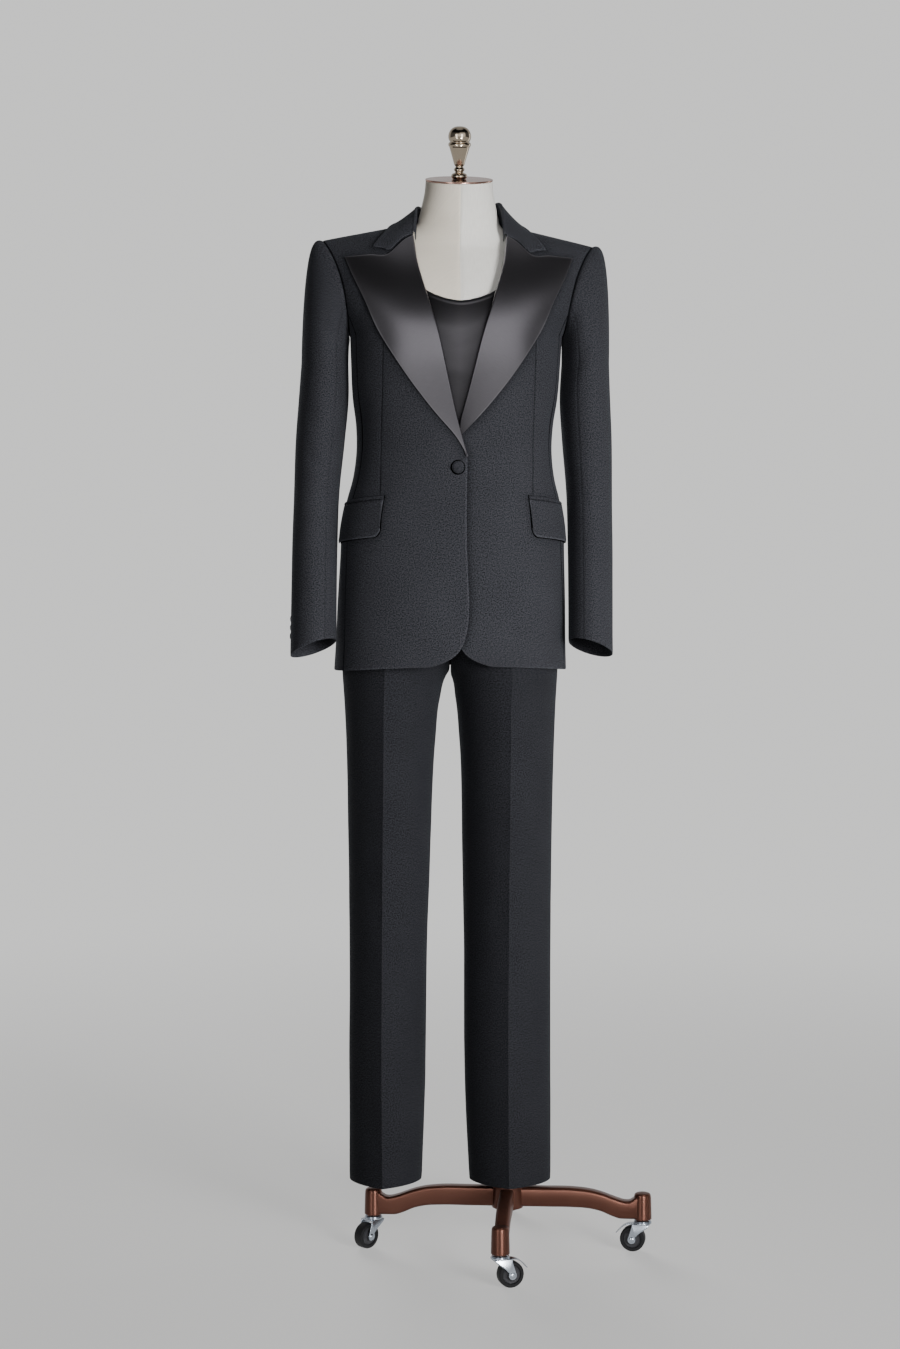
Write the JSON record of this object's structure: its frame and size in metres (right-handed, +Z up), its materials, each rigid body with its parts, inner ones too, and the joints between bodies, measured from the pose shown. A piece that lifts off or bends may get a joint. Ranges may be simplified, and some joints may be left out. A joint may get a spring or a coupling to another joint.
{
  "type": "tuxedo on a dress form",
  "caption": "Dark tuxedo jacket with satin peak lapels and pressed trousers, worn over a scoop-neck top by a limbless dress form on a rolling stand.",
  "frame": {"origin": "centre of the whole's bounding box, on the floor", "axes": "+Z up, the wearer faces -Y, +X to the wearer's left"},
  "size_m": [0.5456, 0.4553, 1.7019],
  "materials": {
    "wool": "fine dark charcoal wool twill, soft sheen",
    "trouser_wool": "fine dark charcoal wool twill, pressed with sharp creases",
    "satin": "smooth dark satin facing",
    "top_satin": "soft dark satin",
    "linen": "fine plain weave, stretched smooth, off-white",
    "rose_metal": "polished rose metal",
    "gilt": "polished pale gold",
    "copper": "satin copper-bronze",
    "zinc": "bright zinc plating",
    "black_rubber": "matt black tread on a dark grey hub"
  },
  "bodies": {
    "stand": {"coat_front_right": "wool", "coat_front_left": "wool", "coat_side_right": "wool", "coat_side_left": "wool", "coat_back_right": "wool", "coat_back_left": "wool", "coat_collar": "wool", "sleeve_upper_right": "wool", "sleeve_upper_left": "wool", "sleeve_under_right": "wool", "sleeve_under_left": "wool", "pocket_flap_right": "wool", "pocket_flap_left": "wool", "pocket_jet_right": "wool", "pocket_jet_left": "wool", "front_button": "wool", "cuff_button_right_1": "wool", "cuff_button_right_2": "wool", "cuff_button_right_3": "wool", "cuff_button_left_1": "wool", "cuff_button_left_2": "wool", "cuff_button_left_3": "wool", "trouser_front_right": "trouser_wool", "trouser_front_left": "trouser_wool", "trouser_back_right": "trouser_wool", "trouser_back_left": "trouser_wool", "trouser_waistband": "trouser_wool", "lapel_right": "satin", "lapel_left": "satin", "top_front": "top_satin", "top_back": "top_satin", "form_body": "linen", "form_cap": "rose_metal", "form_finial": "gilt", "stand_base": "copper", "stand_pole": "copper"},
    "swivel_left": {"caster_left_fork": "zinc"},
    "wheel_left": {"caster_left_wheel": "black_rubber"},
    "swivel_back": {"caster_back_fork": "zinc"},
    "wheel_back": {"caster_back_wheel": "black_rubber"},
    "swivel_right": {"caster_right_fork": "zinc"},
    "wheel_right": {"caster_right_wheel": "black_rubber"},
    "swivel_front": {"caster_front_fork": "zinc"},
    "wheel_front": {"caster_front_wheel": "black_rubber"}
  },
  "joints": [
    {"name": "swivel_left", "type": "hinge", "parent": "stand", "child": "swivel_left", "pos_m": [-0.14885, 0.00649, 0.045], "axis": [0, 0, 1], "continuous": true},
    {"name": "wheel_left", "type": "hinge", "parent": "swivel_left", "child": "wheel_left", "pos_m": [-0.15946, -0.00412, 0.019], "axis": [0.7071, -0.7071, 0], "continuous": true},
    {"name": "swivel_back", "type": "hinge", "parent": "stand", "child": "swivel_back", "pos_m": [0.07018, 0.19555, 0.045], "axis": [0, 0, 1], "continuous": true},
    {"name": "wheel_back", "type": "hinge", "parent": "swivel_back", "child": "wheel_back", "pos_m": [0.06269, 0.20854, 0.019], "axis": [-0.866, -0.5, 0], "continuous": true},
    {"name": "swivel_right", "type": "hinge", "parent": "stand", "child": "swivel_right", "pos_m": [0.25925, -0.02348, 0.045], "axis": [0, 0, 1], "continuous": true},
    {"name": "wheel_right", "type": "hinge", "parent": "swivel_right", "child": "wheel_right", "pos_m": [0.24466, -0.01998, 0.019], "axis": [-0.2334, -0.9724, 0], "continuous": true},
    {"name": "swivel_front", "type": "hinge", "parent": "stand", "child": "swivel_front", "pos_m": [0.04022, -0.21255, 0.045], "axis": [0, 0, 1], "continuous": true},
    {"name": "wheel_front", "type": "hinge", "parent": "swivel_front", "child": "wheel_front", "pos_m": [0.05444, -0.20779, 0.019], "axis": [-0.3173, 0.9483, 0], "continuous": true}
  ]
}
